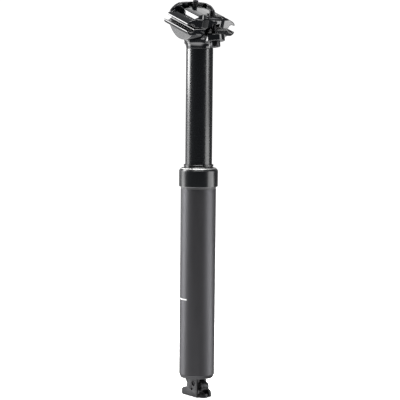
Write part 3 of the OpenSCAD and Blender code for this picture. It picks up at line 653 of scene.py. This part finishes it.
def groove_ribs(form, low_angle, high_angle, half_len):
    """Fine ribs across both rail grooves, over part of each groove's round wall."""
    bm = bmesh.new()
    steps = 14
    count = int(2 * half_len / form.rib_pitch)
    foot = 0.3 * form.rib_pitch
    sunk = RAIL_R + 0.02 * MM
    section = ((-foot, sunk), (0, RAIL_R - form.rib_height), (foot, sunk))
    for rail in RAILS:
        centre = Vector(rail["pos_m"])
        side = Vector((0, math.copysign(1, centre.y), 0))
        for n in range(count):
            at = centre + RAIL_AXIS * (form.rib_pitch * (n + 0.5) - half_len)
            rows = []
            for k in range(steps + 1):
                turn = low_angle + (high_angle - low_angle) * k / steps
                out = side * math.cos(turn) + RAIL_UP * math.sin(turn)
                rows.append([bm.verts.new(at + RAIL_AXIS * along + out * r) for along, r in section])
            for a, b in zip(rows, rows[1:]):
                bm.faces.new((a[0], a[1], b[1], b[0]))
                bm.faces.new((a[1], a[2], b[2], b[1]))
    return bm


class SEATPOST_OT_saddle_clamp(bpy.types.Operator):
    """Forge the clamp's two jaws and rib their rail grooves"""

    bl_idname = "seatpost.saddle_clamp"
    bl_label = "Saddle clamp"

    def execute(self, context):
        finish, form, _ = settings(context)
        black = forged_black(finish, "gloss_clamp")
        for node, name in (("lower_cradle", "forged_cradle"), ("upper_clamp", "forged_upper_clamp")):
            bm = forged_bmesh(node, form.forged_grain, form.clamp_passes)
            jaw = new_object(name, bm, black, "saddle_clamp", 180)
            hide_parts(node)
        near, far = math.radians(50), math.radians(168)
        for name, low, high, inset in (
            ("lower_groove_ribs", -far, -near, 0.6 * MM),
            ("upper_groove_ribs", near, far, 4.6 * MM),
        ):
            ribs = groove_ribs(form, low, high, RAIL_LEN / 2 - inset)
            new_object(name, ribs, black, "saddle_clamp", 20)
        return {"FINISHED"}


class SEATPOST_OT_clamp_bolts(bpy.types.Operator):
    """Cut the clamp bolts' threads, and finish their washers and barrel nuts"""

    bl_idname = "seatpost.clamp_bolts"
    bl_label = "Clamp bolts"

    def execute(self, context):
        _, form, _ = settings(context)
        black = steel("black_steel", (0.05, 0.05, 0.053), 0.22, (1, 1, 1))
        for end in ("front", "rear"):
            seat = Vector(JOINTS[end + "_bolt_swing"]["pos_m"])
            nut = Vector(JOINTS[end + "_nut_turn"]["pos_m"])
            self.bolt(form, black, end, seat, nut)
            shaped = bevelled_bmesh(end + "_barrel_nut", 0.35 * MM)
            piece = new_object(end + "_round_nut", shaped, black, end + "_nut")
            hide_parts(end + "_barrel_nut")
        dress(["front_washer", "rear_washer"], black)
        return {"FINISHED"}

    def bolt(self, form, material, end, seat, nut):
        """One bolt: a socket head with a knurled side, and a threaded shank."""
        radius, head_r, head_h = 2.5 * MM, 4.3 * MM, 4.3 * MM
        socket_r, socket_depth = 2.5 * MM / math.cos(math.pi / 6), 2.6 * MM
        knurl_depth = 0.12 * MM
        axis = (nut - seat).normalized()
        along = [(corner.co - seat).dot(axis) for corner in NODES[end + "_bolt"].data.vertices]
        foot, tip = min(along), max(along)
        head_top = foot + head_h
        place = Matrix.Translation(seat) @ Vector((0, 0, 1)).rotation_difference(axis).to_matrix().to_4x4()
        bm = bmesh.new()
        around = 96
        rows = []
        for z in (foot + socket_depth, foot + 0.05 * MM):
            rows.append([bm.verts.new(hexagon_point(socket_r, k, around, z)) for k in range(around)])
        for r, z, knurl in (
            (socket_r + 0.35 * MM, foot, 0),
            (head_r - 0.5 * MM, foot, 0),
            (head_r - 0.12 * MM, foot + 0.3 * MM, 0),
            (head_r, foot + 0.7 * MM, knurl_depth),
            (head_r, head_top - 0.5 * MM, knurl_depth),
            (head_r - 0.15 * MM, head_top, 0),
            (radius, head_top, 0),
            (radius, head_top + 0.2 * MM, 0),
        ):
            ring = []
            for k in range(around):
                turn = 2 * math.pi * k / around
                r_here = r - knurl * (k % 2)
                ring.append(bm.verts.new((r_here * math.cos(turn), r_here * math.sin(turn), z)))
            rows.append(ring)
        for low, high in zip(rows, rows[1:]):
            for k in range(around):
                j = (k + 1) % around
                bm.faces.new((low[k], low[j], high[j], high[k]))
        bm.faces.new(rows[0])
        bm.faces.new(rows[-1])
        thread = threaded_bmesh(radius, form.thread_pitch, head_top + 0.1 * MM, tip)
        mesh = bpy.data.meshes.new("shank")
        thread.to_mesh(mesh)
        thread.free()
        bm.from_mesh(mesh)
        bpy.data.meshes.remove(mesh)
        bm.transform(place)
        piece = new_object(end + "_socket_bolt", bm, material, end + "_bolt_set", 28)
        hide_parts(end + "_bolt")


def hexagon_point(corner_r, k, around, z):
    """Point k of so many around a hexagon whose corners are at corner_r."""
    turn = 2 * math.pi * k / around
    inside = (turn % (math.pi / 3)) - math.pi / 6
    r = corner_r * math.cos(math.pi / 6) / math.cos(inside)
    return (r * math.cos(turn), r * math.sin(turn), z)


class SEATPOST_OT_release(bpy.types.Operator):
    """Finish the release yoke, its lever and its pivot pin"""

    bl_idname = "seatpost.release"
    bl_label = "Release yoke and lever"

    def execute(self, context):
        finish, _, _ = settings(context)
        grey = satin_anodised("satin_yoke", finish.yoke_grey)
        for node, name, body in (
            ("actuator_yoke", "milled_yoke", "lower_post"),
            ("actuator_lever", "milled_lever", "release_lever"),
        ):
            piece = new_object(name, bevelled_bmesh(node, 0.3 * MM), grey, body)
            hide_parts(node)
        # The pivot pin is near black as painted shade, standing in for the shadow in its hole.
        dress(["lever_pivot_pin"], steel("pin_black_as_painted_shade", (0.02, 0.02, 0.021), 0.4, (1, 1, 1)))
        return {"FINISHED"}


class SEATPOST_OT_inside(bpy.types.Operator):
    """Finish the guides, keys, seals and cartridge inside the tubes"""

    bl_idname = "seatpost.inside"
    bl_label = "Pieces inside"

    def execute(self, context):
        finish, _, _ = settings(context)
        ground = steel("ground_steel", (0.55, 0.56, 0.58), 0.16, (0.03, 0.03, 1))
        dress(["base_circlip", "cartridge_tube", "cartridge_inner_tube", "release_pin"], ground)
        dress(["foot_ring", "piston_rod", "rod_lock_nut"], ground)
        dress(["anti_rotation_keys"], steel("drawn_brass", (0.71, 0.53, 0.22), 0.2, (1, 1, 0.03)))
        dress(["base_plug", "rod_gland", "valve_block", "floating_piston", "piston"],
              satin_anodised("satin_black", (0.035, 0.035, 0.037)))
        dress(["upper_bush", "foot_bush"], bearing_plastic())
        dress(["rod_seal", "floating_piston_seals", "top_out_bumper", "piston_seal"], rubber(finish))
        return {"FINISHED"}


class SEATPOST_OT_stage(bpy.types.Operator):
    """Set up the floor, the light and the camera"""

    bl_idname = "seatpost.stage"
    bl_label = "Studio"

    def execute(self, context):
        _, _, studio = settings(context)
        self.backdrop(studio)
        self.air(studio)
        self.lights(studio)
        self.camera(context, studio)
        return {"FINISHED"}

    def backdrop(self, studio):
        """A pale floor that curves up into a wall and a roof; it lights nothing but itself."""
        paint = Paint("backdrop_paper", Roughness=0.9, Specular_IOR_Level=0.1)
        paint.set("Emission Strength", studio.paper_glow)
        tone = studio.paper_tone
        paint.set("Base Color", paint.blend(paint.noise(6, 2), (tone * 0.985,) * 3, (tone,) * 3))
        paint.set("Emission Color", (1, 1, 1))
        floor_z = CAD_BOX[0].z - 0.4 * MM
        reach, sweep, steps = 9.0, 4.0, 24
        wall_z, roof_z = 12.0, 14.0
        outline = [(0, floor_z)]
        for k in range(steps + 1):
            turn = math.pi / 2 * k / steps
            outline.append((reach + sweep * math.sin(turn), floor_z + sweep * (1 - math.cos(turn))))
        outline += [(reach + sweep, wall_z), (0, roof_z)]
        mesh = bpy.data.meshes.new("floor")
        bm = revolve(outline, 96)
        bmesh.ops.remove_doubles(bm, verts=bm.verts, dist=MM)
        bm.to_mesh(mesh)
        bm.free()
        mesh.shade_smooth()
        mesh.materials.append(paint.material)
        floor = bpy.data.objects.new("floor", mesh)
        floor.visible_glossy = False
        floor.visible_diffuse = False
        floor.visible_shadow = False
        bpy.context.scene.collection.objects.link(floor)

    def air(self, studio):
        """Dim air on the camera's side, brighter behind and to the left, and brightest below."""
        world = bpy.data.worlds.new("studio_air")
        world.use_nodes = True
        air = Nodes(world.node_tree)
        behind = studio.azimuth - math.radians(150)
        way = air.node("ShaderNodeTexCoord", {}, {}, "Generated")
        wrap = (way.dot((math.sin(behind), -math.cos(behind), 0.15)) + 0.1).clamped()
        rightward = way.dot((math.cos(studio.azimuth), math.sin(studio.azimuth), 0))
        down = way.dot((0, 0, -1))
        slanting = ((down - 0.4) / 0.3).clamped() * ((0.45 - rightward) / 0.35).clamped()
        straight = ((down - 0.7) / 0.12).clamped()
        strength = studio.air_front + wrap * wrap * (studio.air_back - studio.air_front)
        strength = strength + (slanting + straight).clamped() * studio.air_below
        background = world.node_tree.nodes["Background"]
        background.inputs["Color"].default_value = (1, 1, 1, 1)
        world.node_tree.links.new(strength.socket, background.inputs["Strength"])
        bpy.context.scene.world = world

    def lights(self, studio):
        """Soft boxes and cards on both sides of the post, one box over it and one behind it."""
        for name, bearing, far, height, wide, tall, watts in (
            ("left_strip", -103, 0.8, 0.37, 0.44, 0.56, studio.left_watts * 0.66),
            ("left_low", -102, 0.8, -0.14, 0.40, 0.44, studio.left_watts * 0.1),
            ("left_foot", -102, 0.85, -0.26, 0.40, 0.3, studio.left_watts * 0.08),
            ("right_box", 72, 0.9, 0.46, 0.36, 0.7, studio.right_watts * 0.75),
            ("right_mid", 74, 0.9, 0.07, 0.5, 0.12, studio.right_watts * 0.06),
            ("right_low", 79, 0.9, -0.1, 0.66, 0.26, studio.right_watts * 0.36),
            ("prow_card", 95, 0.7, -0.18, 0.2, 0.18, studio.right_watts * 0.1),
            ("right_card", 102, 0.7, -0.42, 0.3, 0.3, studio.right_watts * 0.2),
            ("top_box", 0, 0.1, 1.2, 0.8, 0.7, studio.top_watts * 1.4),
            ("back_box", 172, 1.2, 0.9, 0.8, 0.6, studio.top_watts * 0.13),
        ):
            turn = studio.azimuth + math.radians(bearing)
            lamp = bpy.data.lights.new(name, "AREA")
            lamp.shape = "RECTANGLE"
            lamp.size, lamp.size_y = wide, tall
            lamp.energy = watts
            box = bpy.data.objects.new(name, lamp)
            place = Vector((math.sin(turn) * far, -math.cos(turn) * far, height))
            aim = Vector((0, 0, min(height, HEAD_Z)))
            box.location = place
            box.rotation_euler = (aim - place).to_track_quat("-Z", "Y").to_euler()
            box.visible_camera = False
            bpy.context.scene.collection.objects.link(box)

    def camera(self, context, studio):
        """The camera at the photographer's place."""
        lens = bpy.data.cameras.new("camera")
        lens.lens = studio.lens
        lens.sensor_width = studio.sensor
        camera = bpy.data.objects.new("camera", lens)
        away = Vector((math.sin(studio.azimuth), -math.cos(studio.azimuth), 0))
        right = Vector((math.cos(studio.azimuth), math.sin(studio.azimuth), 0))
        place = away * studio.distance + Vector((0, 0, studio.height))
        level = (right * studio.aside - away * studio.distance).normalized()
        facing = level.to_track_quat("-Z", "Y").to_matrix()
        turn = facing @ Matrix.Rotation(-studio.pitch, 3, "X") @ Matrix.Rotation(studio.roll, 3, "Z")
        camera.matrix_world = Matrix.Translation(place) @ turn.to_4x4()
        context.scene.collection.objects.link(camera)
        context.scene.camera = camera
        context.scene.view_settings.view_transform = "Standard"


PIECES = (
    SEATPOST_OT_stage, SEATPOST_OT_lower_tube, SEATPOST_OT_collar, SEATPOST_OT_stanchion, SEATPOST_OT_head,
    SEATPOST_OT_saddle_clamp, SEATPOST_OT_clamp_bolts, SEATPOST_OT_release, SEATPOST_OT_inside,
)


class SEATPOST_PT_panel(bpy.types.Panel):
    """Sidebar panel with the post's pieces and settings"""

    bl_idname = "SEATPOST_PT_panel"
    bl_label = "Dropper seatpost"
    bl_space_type = "VIEW_3D"
    bl_region_type = "UI"
    bl_category = "Seatpost"

    def draw(self, context):
        for piece in PIECES:
            self.layout.operator(piece.bl_idname)
        for group in settings(context):
            box = self.layout.box()
            for name in group.bl_rna.properties.keys():
                if name not in ("rna_type", "name"):
                    box.prop(group, name)


GROUPS = {"seatpost_finish": SeatpostFinish, "seatpost_form": SeatpostForm, "seatpost_studio": SeatpostStudio}


def register():
    """Registers the settings, the operators and the panel."""
    for name, group in GROUPS.items():
        bpy.utils.register_class(group)
        setattr(bpy.types.Scene, name, PointerProperty(type=group))
    for piece in PIECES:
        bpy.utils.register_class(piece)
    bpy.utils.register_class(SEATPOST_PT_panel)


def unregister():
    """Removes what register added."""
    bpy.utils.unregister_class(SEATPOST_PT_panel)
    for piece in reversed(PIECES):
        bpy.utils.unregister_class(piece)
    for name, group in GROUPS.items():
        delattr(bpy.types.Scene, name)
        bpy.utils.unregister_class(group)


def main():
    """Builds every piece."""
    register()
    for piece in PIECES:
        group, name = piece.bl_idname.split(".")
        getattr(getattr(bpy.ops, group), name)()


if __name__ == "__main__":
    main()
